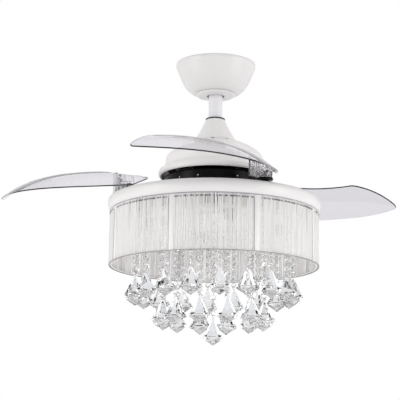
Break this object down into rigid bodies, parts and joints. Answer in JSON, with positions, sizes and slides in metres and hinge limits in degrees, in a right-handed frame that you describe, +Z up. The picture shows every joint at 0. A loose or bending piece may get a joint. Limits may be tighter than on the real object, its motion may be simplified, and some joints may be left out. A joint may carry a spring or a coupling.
{
  "type": "retractable blade ceiling fan",
  "caption": "Ceiling fan with clear crescent blades that fold in over a round light pan, a thread drum shade and tiers of hanging crystals.",
  "frame": {"origin": "centre of the hanger bracket's top face, which lies against the ceiling", "axes": "+Z up towards the ceiling along the downrod's axis, -Y towards the side that the picture was taken from, +X to that viewer's right"},
  "size_m": [0.8032, 0.5921, 0.5498],
  "materials": {
    "white_enamel": "semi-gloss baked enamel",
    "rod_enamel": "semi-gloss baked enamel",
    "plated_steel": "zinc plated",
    "cast_alloy": "as cast, lightly machined",
    "black_enamel": "satin black enamel",
    "black_nylon": "moulded, slightly rough",
    "rubber": "soft, matte",
    "smoky_acrylic": "clear acrylic, faint violet grey",
    "clear_moulding": "clear injection moulding",
    "winding_wire": "enamelled wire",
    "laminations": "stacked sheet",
    "thread": "fine vertical threads",
    "frame_enamel": "matt enamel",
    "box_plastic": "moulded",
    "lamp_plastic": "moulded",
    "bulb_glass": "clear envelope",
    "crystal": "cut and polished"
  },
  "bodies": {
    "ceiling_mount": {"ceiling_bracket": "plated_steel", "receiver_box": "box_plastic", "canopy": "white_enamel", "canopy_screw_rear": "plated_steel", "canopy_screw_front": "plated_steel", "canopy_cover_ring": "white_enamel"},
    "hanging_body": {"hanger_ball": "black_nylon", "ball_pin": "plated_steel", "downrod": "rod_enamel", "coupling_yoke": "cast_alloy", "yoke_pin": "plated_steel", "yoke_set_screw": "plated_steel", "coupling_cone": "white_enamel", "rubber_ring": "rubber", "motor_housing": "white_enamel", "motor_shaft": "plated_steel", "stator_core": "laminations", "lower_windings": "winding_wire", "upper_windings": "winding_wire", "light_pan": "white_enamel", "pan_nut": "plated_steel", "thread_curtain": "thread", "shade_frame": "frame_enamel", "shade_foot_ring": "frame_enamel", "crystal_plate": "white_enamel", "outer_crystals_right": "crystal", "outer_crystals_left": "crystal", "inner_crystals_right": "crystal", "inner_crystals_left": "crystal", "lamp_holder_1": "lamp_plastic", "bulb_1": "bulb_glass", "lamp_holder_2": "lamp_plastic", "bulb_2": "bulb_glass", "lamp_holder_3": "lamp_plastic", "bulb_3": "bulb_glass", "lamp_holder_4": "lamp_plastic", "bulb_4": "bulb_glass"},
    "blade_rotor": {"upper_bearing": "plated_steel", "lower_bearing": "plated_steel", "rotor_case_top": "cast_alloy", "rotor_case_bottom": "black_enamel", "blade_hub": "black_enamel", "blade_plate": "black_enamel", "front_pivot_pin": "black_enamel", "front_return_spring": "plated_steel", "left_pivot_pin": "black_enamel", "left_return_spring": "plated_steel", "right_pivot_pin": "black_enamel", "right_return_spring": "plated_steel"},
    "front_folding_blade": {"front_blade": "smoky_acrylic", "front_blade_holder": "clear_moulding"},
    "left_folding_blade": {"left_blade": "smoky_acrylic", "left_blade_holder": "clear_moulding"},
    "right_folding_blade": {"right_blade": "smoky_acrylic", "right_blade_holder": "clear_moulding"},
    "centre_string": {"centre_crystal_string": "crystal"}
  },
  "joints": [
    {"name": "hanger_ball_tilt", "type": "hinge", "parent": "ceiling_mount", "child": "hanging_body", "pos_m": [0, 0, -0.033], "axis": [1, 0, 0], "range_deg": [-5, 5]},
    {"name": "blade_rotor_spin", "type": "hinge", "parent": "hanging_body", "child": "blade_rotor", "pos_m": [0, 0, -0.2], "axis": [0, 0, 1], "continuous": true},
    {"name": "front_blade_fold", "type": "hinge", "parent": "blade_rotor", "child": "front_folding_blade", "pos_m": [0.09227, -0.13679, -0.247], "axis": [0, 0, 1], "range_deg": [-54.7, 53.1], "stiffness_Nm_per_rad": 0.05, "springref_deg": -54.7},
    {"name": "left_blade_fold", "type": "hinge", "parent": "blade_rotor", "child": "left_folding_blade", "pos_m": [-0.1646, -0.01151, -0.247], "axis": [0, 0, 1], "range_deg": [-107.8, 0], "stiffness_Nm_per_rad": 0.05, "springref_deg": -107.8},
    {"name": "right_blade_fold", "type": "hinge", "parent": "blade_rotor", "child": "right_folding_blade", "pos_m": [0.07233, 0.1483, -0.247], "axis": [0, 0, 1], "range_deg": [-79.9, 27.9], "stiffness_Nm_per_rad": 0.05, "springref_deg": -79.9},
    {"name": "centre_string_swing", "type": "hinge", "parent": "hanging_body", "child": "centre_string", "pos_m": [0, 0, -0.3168], "axis": [1, 0, 0], "range_deg": [-10, 10]}
  ]
}
